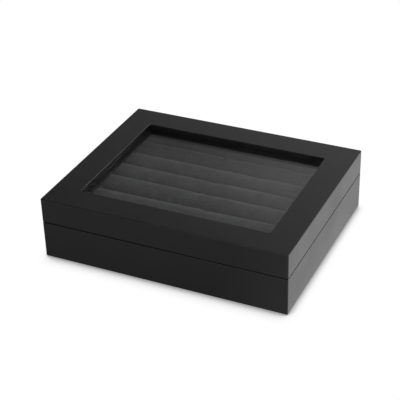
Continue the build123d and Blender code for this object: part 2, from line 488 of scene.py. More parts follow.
@dataclass(frozen=True)
class Plain:
    """A plain stock, such as foam, card or rubber, with its own small texture."""

    name: str
    dark: Colour
    light: Colour
    cell: float
    cell_depth: float
    roughness: float
    index: float = 1.4

    def material(self) -> bpy.types.Material:
        """Builds the stock: small cells in colour and bump.

        Returns:
            The material.
        """
        bench = Bench(self.name)
        cell = bench.noise(self.cell, detail=3.0, roughness=0.6)
        return bench.surface(
            Base_Color=bench.blend(bench.between(cell, 0.0, 1.0), self.dark, self.light),
            Roughness=self.roughness,
            IOR=self.index,
            Normal=bench.bump(cell, self.cell_depth),
        )


LACQUER = Lacquer()
GLASS = PaneGlass()
NICKEL = Nickel()
FELT = Felt()
VELVET = PileCloth("roll_velvet", (0.027, 0.027, 0.0276), (0.057, 0.057, 0.0584), sheen=0.30)
LINING = PileCloth("lining_suedette", (0.006, 0.006, 0.0065), (0.017, 0.017, 0.018), sheen=0.08)
FOAM = Plain("grey_foam", (0.11, 0.11, 0.12), (0.24, 0.24, 0.25), 0.6 * MM, 0.15 * MM, 0.9)
CARD = Plain("black_card", (0.012, 0.012, 0.012), (0.022, 0.022, 0.022), 0.4 * MM, 0.02 * MM, 0.8)
RUBBER = Plain("bumper_rubber", (0.014, 0.014, 0.014), (0.022, 0.022, 0.022), 0.3 * MM, 0.01 * MM, 0.55)


class Shelf:
    """Keeps one material for each finish, so that pieces share them."""

    def __init__(self) -> None:
        """Starts with no materials."""
        self.made: Dict[str, bpy.types.Material] = {}

    def coat(self, piece: bpy.types.Object, finish: Finish) -> None:
        """Gives a piece its finish.

        Args:
            piece: The piece, new or carried over from the model.
            finish: One of the finishes above.
        """
        if finish.name not in self.made:
            self.made[finish.name] = finish.material()
        piece.data.materials.clear()
        piece.data.materials.append(self.made[finish.name])


# ---------------------------------------------------------------------------------------
# Mesh making
# ---------------------------------------------------------------------------------------
def ring_faces(rings: int, around: int) -> np.ndarray:
    """Quads between neighbouring closed rings of points.

    Point j of ring i is number i * around + j, and the last point of a ring joins on to its first.

    Args:
        rings: How many rings there are.
        around: Points in each ring.

    Returns:
        An array of quads, four point numbers each.
    """
    i, j = np.meshgrid(np.arange(rings - 1), np.arange(around), indexing="ij")
    here, there = i * around, (i + 1) * around
    k = (j + 1) % around
    return np.stack([here + j, here + k, there + k, there + j], axis=-1).reshape(-1, 4)


def fan_faces(middle: int, first: int, around: int, outwards: bool) -> np.ndarray:
    """Triangles that close a ring on a middle point.

    Args:
        middle: The number of the middle point.
        first: The number of the ring's first point.
        around: Points in the ring.
        outwards: Turns the fan the other way round.

    Returns:
        An array of triangles, three point numbers each.
    """
    j = np.arange(around)
    k = (j + 1) % around
    turned = (k, j) if outwards else (j, k)
    return np.stack([np.full(around, middle), first + turned[0], first + turned[1]], axis=-1)


def closed_tube(name: str, rings: np.ndarray) -> bpy.types.Object:
    """A closed solid through a stack of rings, with a middle point in each end.

    Args:
        name: The piece's name.
        rings: Points, as rings by points around by three.

    Returns:
        The new object, at the origin, with its faces outwards.
    """
    count, around = rings.shape[:2]
    body = ring_faces(count, around)
    low = fan_faces(count * around, 0, around, outwards=True)
    high = fan_faces(count * around + 1, (count - 1) * around, around, outwards=False)
    return mesh_piece(name, tube_points(rings), body.tolist() + low.tolist() + high.tolist())


def tube_points(rings: np.ndarray) -> np.ndarray:
    """The points of a closed tube: its rings in order, then the middle of its first and last ring.

    Args:
        rings: Points, as rings by points around by three.

    Returns:
        The points, one a row.
    """
    ends = np.stack([rings[0].mean(axis=0), rings[-1].mean(axis=0)])
    return np.concatenate([rings.reshape(-1, 3), ends])


def read_points(mesh: bpy.types.Mesh) -> np.ndarray:
    """Reads a mesh's points.

    Args:
        mesh: The mesh.

    Returns:
        The points, one a row.
    """
    flat = np.empty(len(mesh.vertices) * 3)
    mesh.vertices.foreach_get("co", flat)
    return flat.reshape(-1, 3)


def mesh_piece(name: str, points: np.ndarray, faces: Sequence[Sequence[int]]) -> bpy.types.Object:
    """A mesh object at the origin, smooth, with its faces outwards.

    Args:
        name: The piece's name.
        points: Points in metres, in the model's frame.
        faces: Point numbers of each face.

    Returns:
        The new object, in the scene.
    """
    mesh = bpy.data.meshes.new(name)
    mesh.from_pydata(points.tolist(), [], faces)
    mesh.validate()
    if signed_volume(mesh) < 0:
        mesh.flip_normals()
    mesh.shade_smooth()
    piece = bpy.data.objects.new(name, mesh)
    bpy.context.scene.collection.objects.link(piece)
    return piece


def signed_volume(mesh: bpy.types.Mesh) -> float:
    """Six times the volume inside a closed mesh, negative if its faces point inwards.

    It is the sum over the triangles of the triple product of their corners.

    Args:
        mesh: The mesh.

    Returns:
        The signed sum, in cubic metres.
    """
    mesh.calc_loop_triangles()
    corners = np.empty(len(mesh.loop_triangles) * 3, np.int32)
    mesh.loop_triangles.foreach_get("vertices", corners)
    a, b, c = read_points(mesh)[corners.reshape(-1, 3)].transpose(1, 0, 2)
    return float(np.einsum("ij,ij->i", a, np.cross(b, c)).sum())


def rounded_outline(corners: np.ndarray, radii: Sequence[float], steps: int) -> np.ndarray:
    """A closed outline with each corner replaced by an arc.

    The arc at a corner touches both its sides at radius over the tangent of half the corner's
    angle, and its points are spaced evenly by angle about the arc's own centre.

    Args:
        corners: The outline's corners in order, each two numbers.
        radii: The radius at each corner, in the outline's units.
        steps: Points in each arc.

    Returns:
        The outline's points in order.
    """
    before, after = np.roll(corners, 1, axis=0) - corners, np.roll(corners, -1, axis=0) - corners
    before /= np.linalg.norm(before, axis=1, keepdims=True)
    after /= np.linalg.norm(after, axis=1, keepdims=True)
    half = np.arccos(np.clip((before * after).sum(axis=1), -1, 1)) / 2
    radius = np.asarray(radii, float)
    middle = before + after
    middle /= np.linalg.norm(middle, axis=1, keepdims=True)
    centre = corners + middle * (radius / np.sin(half))[:, None]
    start = corners + before * (radius / np.tan(half))[:, None] - centre
    end = corners + after * (radius / np.tan(half))[:, None] - centre
    share = np.linspace(0, 1, steps)[None, :, None]
    sweep = (np.pi - 2 * half)[:, None, None]
    weights = np.sin((1 - share) * sweep) / np.sin(sweep), np.sin(share * sweep) / np.sin(sweep)
    arcs = centre[:, None] + weights[0] * start[:, None] + weights[1] * end[:, None]
    return arcs.reshape(-1, 2)


def ripple(place: np.ndarray, seed: int, lengths: Sequence[float]) -> np.ndarray:
    """A soft uneven wave: the mean of sines with the given wavelengths and seeded phases.

    Args:
        place: Where to read the wave, in metres.
        seed: Chooses the phases.
        lengths: The wavelengths, in metres.

    Returns:
        Values from -1 to 1, the shape of place.
    """
    phases = np.random.default_rng(seed).uniform(0, 2 * np.pi, len(lengths))
    waves = [np.sin(2 * np.pi * place / length + phase) for length, phase in zip(lengths, phases)]
    return np.mean(waves, axis=0)


def subdivide(piece: bpy.types.Object, levels: int) -> None:
    """Adds a Subdivision Surface, the same in the view and the render."""
    smooth = piece.modifiers.new("smooth", "SUBSURF")
    smooth.levels = smooth.render_levels = levels


# ---------------------------------------------------------------------------------------
# The pieces that are carried over
# ---------------------------------------------------------------------------------------
@dataclass
class CarriedOver:
    """Pieces whose shape in the model is right, so that they only need their finish."""

    shelf: Shelf
    walls: Tuple[str, ...] = tuple(f"{part}_{side.value}_wall" for part in ("base", "lid") for side in Side)
    boards: Tuple[str, ...] = ("lid_top_panel", "base_bottom_panel")
    pane: str = "window_glass"

    def dress(self) -> None:
        """Coats the wooden carcass, the pane, the hinges, the insert's cardboard floor and the bumpers."""
        for name in self.walls + self.boards:
            self.shelf.coat(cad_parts[name], LACQUER)
        self.shelf.coat(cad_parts[self.pane], GLASS)
        self.shelf.coat(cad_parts["insert_floor"], CARD)
        self.shelf.coat(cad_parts["rim_bumpers"], RUBBER)
        hinges = [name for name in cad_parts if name.startswith("hinge_")]
        for name in hinges:
            self.shelf.coat(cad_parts[name], NICKEL)
        log.info("carcass: %d boards, the pane and %d hinge pieces dressed",
                 len(self.walls + self.boards), len(hinges))


# ---------------------------------------------------------------------------------------
# Padded rolls
# ---------------------------------------------------------------------------------------
@dataclass(frozen=True)
class Stuffing:
    """Swells a closed cover by cloth simulation, under pressure and without gravity.

    The simulation runs on the cover at ten times its size, which suits the cloth's stiffness.
    """

    enlarge: float = 10.0
    pressure: float = 4.0
    spare: float = 0.004            # how much larger than its shape the cloth is cut
    frames: int = 20

    def swell(self, cover: bpy.types.Object, glued: np.ndarray) -> np.ndarray:
        """Swells a cover from the shape that it has, and takes it out of the scene.

        Args:
            cover: The cover, at its size before it is filled.
            glued: True for the points that are glued down.

        Returns:
            How far each point moved, in metres.
        """
        start = read_points(cover.data)
        cover.data.vertices.foreach_set("co", (start * self.enlarge).ravel())
        cover.data.update()
        held = cover.vertex_groups.new(name="glued")
        held.add(np.flatnonzero(glued).tolist(), 1.0, "REPLACE")
        cloth = cover.modifiers.new("stuffing", "CLOTH")
        cloth.settings.vertex_group_mass = held.name
        cloth.settings.use_pressure = True
        cloth.settings.uniform_pressure_force = self.pressure
        cloth.settings.shrink_min = -self.spare
        cloth.settings.effector_weights.gravity = 0.0
        cloth.point_cache.frame_start, cloth.point_cache.frame_end = 1, self.frames
        for number in range(1, self.frames + 1):
            bpy.context.scene.frame_set(number)
        view = bpy.context.evaluated_depsgraph_get()
        move = read_points(cover.evaluated_get(view).data) / self.enlarge - start
        bpy.data.objects.remove(cover)
        bpy.context.scene.frame_set(1)
        return move


@dataclass
class Roll:
    """One padded roll: a foam core in a velvet cover, glued down by its foot.

    Its outline across the box is a flat foot, two sides that lean out a little on the way up and
    a round crown.  Towards each end the outline shrinks along a quarter circle, where the cloth
    folds over, and closes in a flat, slightly dished end.
    """

    number: int
    seed: int
    sag: Tuple[float, float]        # how far the crown hangs at the left and right end
    lean: Tuple[float, float]       # how far the crown leans to the back at each end
    draw_in: float = 0.6 * MM       # how much further out a side is at the crown than at its foot
    fold: float = 1.8 * MM          # radius of the cloth's fold at the ends
    step_along: float = 2.5 * MM
    side_points: int = 7
    crown_points: int = 18
    foot_points: int = 7
    fold_rings: int = 4
    cap_rings: int = 3
    dish: float = 0.35 * MM         # how far the middle of an end is pressed in
    uneven: float = 0.18 * MM
    lump_lengths: Tuple[float, ...] = (61 * MM, 37 * MM, 23 * MM)
    rock_lengths: Tuple[float, ...] = (83 * MM, 41 * MM)
    rock_seed: int = 50             # added to the roll's own
    glue: float = 0.1 * MM          # the cloth is glued up to this height over the floor
    sink: float = 1.0 * MM          # the most that the simulated cloth sinks
    drift: float = 0.4 * MM         # the most that it goes aside
    loose: float = 0.5              # it goes aside only where it started over this share of the slack inside
    low: Vector = field(init=False)
    high: Vector = field(init=False)

    def __post_init__(self) -> None:
        """Reads the roll's place from the model."""
        self.low, self.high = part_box(f"roll_cover_{self.number}")

    def section(self, inside: float) -> Tuple[np.ndarray, np.ndarray]:
        """The outline across the roll and the way that it shrinks at the ends.

        The sides run from the foot to where they touch the crown's circle, whose centre is as
        far below the roll's top as the roll is half wide.

        Args:
            inside: How far the outline lies inside the roll's own, in metres.

        Returns:
            The outline's points and their outward directions, each two numbers, with Y first.
        """
        crown = (self.high.y - self.low.y) / 2 - inside
        foot = crown - self.draw_in
        centre = self.high.z - self.low.z - crown - inside
        lean = math.acos(crown / math.hypot(foot, centre)) - math.atan2(centre, foot)
        turn = np.linspace(lean, np.pi - lean, self.crown_points)
        arc = np.stack([np.cos(turn), np.sin(turn)], axis=1)
        climb = np.linspace(0, 1, self.side_points, endpoint=False)[:, None]
        touch = arc[0] * crown + (0, centre)
        right = (foot, 0) + climb * (touch - (foot, 0))
        left = (right * (-1, 1))[::-1]
        floor = np.linspace(-foot, foot, self.foot_points + 2)[1:-1]
        bottom = np.stack([floor, np.zeros_like(floor)], axis=1)
        points = np.concatenate([right, arc * crown + (0, centre), left, bottom])
        side = np.tile(arc[0], (self.side_points, 1))
        side[0] = (1, 0)
        inward = np.stack([floor / foot, np.zeros_like(floor)], axis=1)
        ways = np.concatenate([side, arc, (side * (-1, 1))[::-1], inward])
        return points, ways

    def surface(self, inside: float) -> np.ndarray:
        """The roll's surface as rings from its left end to its right end, without the flat ends.

        Args:
            inside: How far the surface lies inside the cover's outside, in metres.

        Returns:
            Points in metres in the roll's own frame, as rings by points around by three.
        """
        outline, ways = self.section(inside)
        half = (self.high.x - self.low.x) / 2 - inside
        fold = self.fold - inside
        body = np.linspace(-half + fold, half - fold, round(2 * (half - fold) / self.step_along))
        turn = np.linspace(0, np.pi / 2, self.fold_rings + 1)[1:]
        x_end, shrink_end = half - fold + fold * np.sin(turn), fold * (1 - np.cos(turn))
        x = np.concatenate([-x_end[::-1], body, x_end])
        shrink = np.concatenate([shrink_end[::-1], np.zeros_like(body), shrink_end])
        ring = outline[None] - shrink[:, None, None] * ways[None]
        height = self.high.z - self.low.z
        across, up = self.settle(x[:, None], ring[..., 0], ring[..., 1], height)
        return np.stack([np.broadcast_to(x[:, None], across.shape), across, up], axis=-1)

    def closed(self, surface: np.ndarray) -> np.ndarray:
        """Adds the ends to a surface and puts the roll in its place.

        Args:
            surface: The rings, in the roll's own frame.

        Returns:
            All the rings, in the model's frame.
        """
        caps = [self.cap(surface[end]) for end in (0, -1)]
        middle = Vector(((self.low.x + self.high.x) / 2, (self.low.y + self.high.y) / 2, self.low.z))
        return np.concatenate([caps[0][::-1], surface, caps[1]]) + np.array(middle)

    def stuffed(self, slack: float, stuffing: Stuffing) -> np.ndarray:
        """The full roll with the unevenness that the simulated cloth takes.

        The cloth's mean movement over the middle half of the roll is left out, because the foam
        and the neighbouring rolls hold the section.  What remains may sink a point by up to the
        sink and carry it aside by up to the drift, and never lifts it out of the full shape.

        Args:
            slack: How far inside its place the cover starts.
            stuffing: The simulation.

        Returns:
            All the rings, in the model's frame.
        """
        full, start = self.surface(0.0), self.surface(slack)
        trial = closed_tube(f"trial_{self.number}", self.closed(start))
        glued = read_points(trial.data)[:, 2] < self.low.z + self.glue
        count, around = start.shape[:2]
        first = self.cap_rings * around
        move = stuffing.swell(trial, glued)[first:first + count * around].reshape(count, around, 3)
        move -= move[count // 4:-(count // 4)].mean(axis=0)
        room = np.linalg.norm(full - start, axis=2, keepdims=True)
        way = (full - start) / np.maximum(room, TINY)
        out = (move * way).sum(axis=2, keepdims=True)
        aside = move - out * way
        far = np.linalg.norm(aside, axis=2, keepdims=True)
        aside *= np.minimum(1, self.drift / np.maximum(far, TINY))
        log.info("roll %d: sinks %.2f mm at most and %.2f mm on average", self.number,
                 -out.min() / MM, -np.minimum(out, 0).mean() / MM)
        return self.closed(full + way * np.clip(out, -self.sink, 0.0) + aside * (room > self.loose * slack))

    def settle(self, x: np.ndarray, across: np.ndarray, up: np.ndarray, height: float
               ) -> Tuple[np.ndarray, np.ndarray]:
        """Lets the crown hang and lean, and makes the stuffing a little uneven.

        The effect grows from nothing at mid height to its whole size at the top, as a smooth
        step.  Along the roll it runs evenly from the left end's amount to the right end's.

        Args:
            x: Place along the roll from its middle.
            across: Y from the roll's middle.
            up: Height over the roll's floor.
            height: The roll's whole height.

        Returns:
            The new Y and height, each no further out than before in height.
        """
        along = 0.5 + x / (self.high.x - self.low.x)
        rise = np.clip(up / height * 2 - 1, 0, 1)
        rise = rise * rise * (3 - 2 * rise)
        sag = self.sag[0] + (self.sag[1] - self.sag[0]) * along
        lean = self.lean[0] + (self.lean[1] - self.lean[0]) * along
        lumps = (1 + ripple(x, self.seed, self.lump_lengths)) / 2 * self.uneven
        rock = ripple(x, self.seed + self.rock_seed, self.rock_lengths) * self.uneven
        room = (self.high.y - self.low.y) / 2
        return np.clip(across + (lean + rock) * rise, -room, room), up - (sag + lumps) * rise

    def cap(self, rim: np.ndarray) -> np.ndarray:
        """Rings that close an end, drawn in evenly to its middle and dished.

        Args:
            rim: The end's ring.

        Returns:
            Rings from the rim inwards, in the roll's own frame.
        """
        share = np.linspace(0, 1, self.cap_rings + 2)[1:-1, None, None]
        middle = rim.mean(axis=0)
        dish = np.array([-np.sign(middle[0]) * self.dish, 0.0, 0.0]) * np.sin(share * np.pi / 2)
        return rim + (middle - rim) * share + dish


@dataclass
class RollInsert:
    """The seven rolls side by side on their card floor."""

    shelf: Shelf
    inset: float = 1.5 * MM         # how far the foam lies inside the cloth's outside
    slack: float = 0.9 * MM         # how much smaller a cover is before it is filled
    stuffing: Stuffing = Stuffing()
    # From the front roll to the back one, at its left and its right end.
    sags: Tuple[Tuple[float, float], ...] = (
        (0.5 * MM, 0.3 * MM), (0.2 * MM, 0.4 * MM), (2.0 * MM, 0.3 * MM), (0.1 * MM, 0.1 * MM),
        (0.3 * MM, 0.2 * MM), (0.2 * MM, 0.2 * MM), (0.0 * MM, 0.1 * MM),
    )
    leans: Tuple[Tuple[float, float], ...] = (
        (0.0, 0.0), (0.0, 0.2 * MM), (-0.9 * MM, -0.3 * MM), (0.2 * MM, 0.1 * MM),
        (-0.2 * MM, -0.2 * MM), (-0.3 * MM, -0.1 * MM), (0.0, 0.0),
    )
    seed_step: int = 7
    fill: float = 0.85

    def build(self) -> None:
        """Builds each roll's velvet cover and foam core."""
        for number, (sag, lean) in enumerate(zip(self.sags, self.leans), start=1):
            roll = Roll(number, self.seed_step * number, sag, lean)
            rings = roll.stuffed(self.slack, self.stuffing)
            cover = closed_tube(f"velvet_roll_{number}", rings)
            subdivide(cover, 1)
            core = closed_tube(f"foam_core_{number}", roll.closed(roll.surface(self.inset)))
            self.finish(cover, VELVET, f"roll_cover_{number}", "black_velvet")
            self.finish(core, FOAM, f"roll_core_{number}", "grey_foam")
        log.info("insert: %d padded rolls", len(self.sags))

    def finish(self, piece: bpy.types.Object, finish: Finish, node: str, slot: str) -> None:
        """Args:
            piece: The cover or the core.
            finish: Its finish.
            node: The piece of the model that it stands for.
            slot: The record's material slot; not used.
        """
        self.shelf.coat(piece, finish)
        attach(piece, Body.BASE.value)
        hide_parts(node)


# ---------------------------------------------------------------------------------------
# Linings, beads and felt
# ---------------------------------------------------------------------------------------
@dataclass
class InnerStrips:
    """Card linings wrapped in cloth, and the lacquered beads under the pane.

    A strip is its cross-section carried along the side of the box that it lies on.  The linings
    end square.  The beads are mitred: each point of the section stops as much shorter at both
    ends as it lies further in.
    """

    shelf: Shelf
    lining_fold: float = 0.45 * MM      # radius of the cloth over a lining's edges
    bead_round: float = 0.5 * MM        # the bead's lower arrises
    pocket_round: float = 0.15 * MM     # in the bead's rebate for the pane
    pane_play: float = 0.25 * MM        # how much further out the rebate's side is than the pane's edge
    sharp: float = 40.0                 # degrees, and an edge that turns by more isn't smoothed
    arc_points: int = 5
    station: float = 4 * MM

    def build(self) -> None:
        """Builds the eight linings and the four beads."""
        for side in Side:
            self.lining(f"base_liner_{side.value}", side, Body.BASE)
            self.lining(f"lid_liner_{side.value}", side, Body.LID)
            self.bead(f"window_bead_{side.value}", side)
        log.info("linings: 8 wall linings and 4 beads")

    def lining(self, node: str, side: Side, body: Body) -> None:
        """One wall lining, a flat strip with its long edges wrapped.

        Args:
            node: The piece of the model that it stands for.
            side: The side of the box that it lies on.
            body: The body that it rides on.
        """
        low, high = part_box(node)
        thick = high[side.through] - low[side.through]
        corners = np.array([(0, low.z), (thick, low.z), (thick, high.z), (0, high.z)])
        section = rounded_outline(corners, [self.lining_fold] * 4, self.arc_points)
        self.strip(node, side, body, section, mitred=False, finish=LINING)

    def bead(self, node: str, side: Side) -> None:
        """One mitred bead, with a rebate that holds the pane's edge.

        Args:
            node: The piece of the model that it stands for.
            side: The side of the box that it lies on.
        """
        low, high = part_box(node)
        pane_low, pane_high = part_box("window_glass")
        axis, seat = side.through, pane_low.z
        wide = high[axis] - low[axis]
        rebate = max(abs(low[axis]), abs(high[axis])) - pane_high[axis] - self.pane_play
        corners = np.array([
            (0, low.z), (wide, low.z), (wide, seat), (rebate, seat), (rebate, high.z), (0, high.z),
        ])
        radii = [self.bead_round] * 2 + [self.pocket_round] * 4
        section = rounded_outline(corners, radii, self.arc_points)
        self.strip(node, side, Body.LID, section, mitred=True, finish=LACQUER)

    def strip(self, node: str, side: Side, body: Body, section: np.ndarray, mitred: bool,
              finish: Finish) -> None:
        """Carries a section along a side.

        Args:
            node: The piece of the model that it stands for.
            side: The side that it lies on.
            body: The body that it rides on.
            section: Points as distance in from the strip's outer face, and height.
            mitred: Whether the ends are cut at 45 degrees.
            finish: Cloth for a lining, or lacquer for a bead.
        """
        low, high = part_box(node)
        axis = side.through
        half = (high[1 - axis] - low[1 - axis]) / 2
        outer = max(abs(low[axis]), abs(high[axis]))
        share = np.linspace(-1, 1, round(2 * half / self.station))[:, None]
        inward, height = section[None, :, 0], section[None, :, 1]
        along = share * (half - inward * (1.0 if mitred else 0.0))
        across = side.sign * (outer - inward) + 0 * share
        tall = height + 0 * share
        columns = (along, across, tall) if axis else (across, along, tall)
        piece = closed_tube(f"finished_{node}", np.stack(columns, axis=-1))
        piece.data.set_sharp_from_angle(angle=math.radians(self.sharp))
        self.shelf.coat(piece, finish)
        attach(piece, body.value)
        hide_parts(node)


@dataclass
class FeltPad:
    """The felt sheet that the box stands on, cut with slightly uneven edges."""

    shelf: Shelf
    node: str = "base_felt_pad"
    corner: float = 2.0 * MM
    corner_points: int = 6
    fuzz: float = 0.12 * MM
    fuzz_lengths: Tuple[float, ...] = (19 * MM, 11 * MM, 5 * MM)
    fuzz_seed: int = 3
    edge_points: int = 60
    rings_in: int = 6
    sharp: float = 50.0             # degrees, and an edge that turns by more isn't smoothed

    def build(self) -> None:
        """Builds the sheet: its rim's outline drawn in towards the middle on both faces.

        Going in from the rim, ring k is the outline scaled by 1 less k over the rings, so the
        faces are flat and closed in their middles.
        """
        low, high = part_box(self.node)
        half = np.array([(high.x - low.x) / 2, (high.y - low.y) / 2])
        outline = self.cut_outline(half)
        scales = 1 - np.arange(self.rings_in) / self.rings_in
        flat = outline[None] * scales[:, None, None]
        under = np.concatenate([flat, np.full((*flat.shape[:2], 1), low.z)], axis=-1)[::-1]
        over = np.concatenate([flat, np.full((*flat.shape[:2], 1), high.z)], axis=-1)
        sheet = closed_tube("felt_sheet", np.concatenate([under, over]))
        sheet.data.set_sharp_from_angle(angle=math.radians(self.sharp))
        self.shelf.coat(sheet, FELT)
        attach(sheet, Body.BASE.value)
        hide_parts(self.node)
        log.info("felt: %.0f by %.0f mm", 2 * half[0] / MM, 2 * half[1] / MM)

    def cut_outline(self, half: np.ndarray) -> np.ndarray:
        """The rounded rectangle of the cut, its edges pulled in unevenly by up to the fuzz.

        Only the four straight sides, which are longer than three times the corner's radius, get
        points of their own.

        Args:
            half: Half the length and half the width.

        Returns:
            The outline's points in order.
        """
        corners = np.array([(-1, -1), (1, -1), (1, 1), (-1, 1)]) * half
        arcs = rounded_outline(corners, [self.corner] * 4, self.corner_points)
        steps = np.roll(arcs, -1, axis=0)
        share = np.linspace(0, 1, self.edge_points, endpoint=False)
        long_sides = np.linalg.norm(steps - arcs, axis=1) > 3 * self.corner
        runs = [a + (b - a) * share[:, None] if is_long else a[None]
                for a, b, is_long in zip(arcs, steps, long_sides)]
        points = np.concatenate(runs)
        walk = np.cumsum(np.linalg.norm(np.diff(points, axis=0, append=points[:1]), axis=1))
        pull = (1 + ripple(walk, self.fuzz_seed, self.fuzz_lengths)) / 2 * self.fuzz
        return points * (1 - pull[:, None] / half)


# ---------------------------------------------------------------------------------------
# Studio
# ---------------------------------------------------------------------------------------
@dataclass(frozen=True)
class StudioCamera:
    """The camera, placed so that the box's corners fall where the picture has them."""

    place: Triple = (0.3421, -0.7271, 0.5173)
    azimuth: float = 25.54          # degrees to the right of straight on
    elevation: float = 31.30        # degrees above the table
    clockwise: float = 1.70         # degrees of tilt
    picture_side: int = 400         # pixels
    focal_pixels: float = 1180.1
    sensor: float = 36.0            # millimetres, as Blender counts lenses
    clip: Tuple[float, float] = (0.01, 50.0)        # metres

    def build(self) -> None:
        """Makes the camera and hands it to the scene."""
        a, e, tilt = (math.radians(x) for x in (self.azimuth, self.elevation, self.clockwise))
        back = Vector((math.sin(a) * math.cos(e), -math.cos(a) * math.cos(e), math.sin(e)))
        level = Vector((math.cos(a), math.sin(a), 0.0))
        upright = back.cross(level)
        right = level * math.cos(tilt) - upright * math.sin(tilt)
        up = upright * math.cos(tilt) + level * math.sin(tilt)
        data = bpy.data.cameras.new("camera")
        data.sensor_width = self.sensor
        data.lens = self.focal_pixels / self.picture_side * self.sensor
        data.clip_start, data.clip_end = self.clip
        camera = bpy.data.objects.new("camera", data)
        turned = Matrix((right, up, back)).transposed().to_4x4()
        camera.matrix_world = Matrix.Translation(self.place) @ turned
        bpy.context.scene.collection.objects.link(camera)
        bpy.context.scene.camera = camera


@dataclass(frozen=True)
class Softbox:
    """A square lamp that faces the box."""

    name: str
    place: Triple
    side: float
    watts: float

    def build(self) -> None:
        """Makes the lamp and points it at the middle of the box."""
        data = bpy.data.lights.new(self.name, "AREA")
        data.shape = "SQUARE"
        data.size = self.side
        data.energy = self.watts
        lamp = bpy.data.objects.new(self.name, data)
        lamp.location = self.place
        towards = Vector(LAMPS_AIM) - Vector(self.place)
        lamp.rotation_mode = "QUATERNION"
        lamp.rotation_quaternion = towards.to_track_quat("-Z", "Y")
        bpy.context.scene.collection.objects.link(lamp)


@dataclass(frozen=True)
class Glow:
    """A soft round glow on the dome of the ceiling, which fades out smoothly from its middle."""

    azimuth: float                  # degrees from +Y towards +X
    elevation: float                # degrees above the table
    spread: float                   # degrees from its middle to its edge
    strength: float

    def towards(self) -> Vector:
        """The direction of its middle."""
        a, e = math.radians(self.azimuth), math.radians(self.elevation)
        return Vector((math.sin(a) * math.cos(e), math.cos(a) * math.cos(e), math.sin(e)))


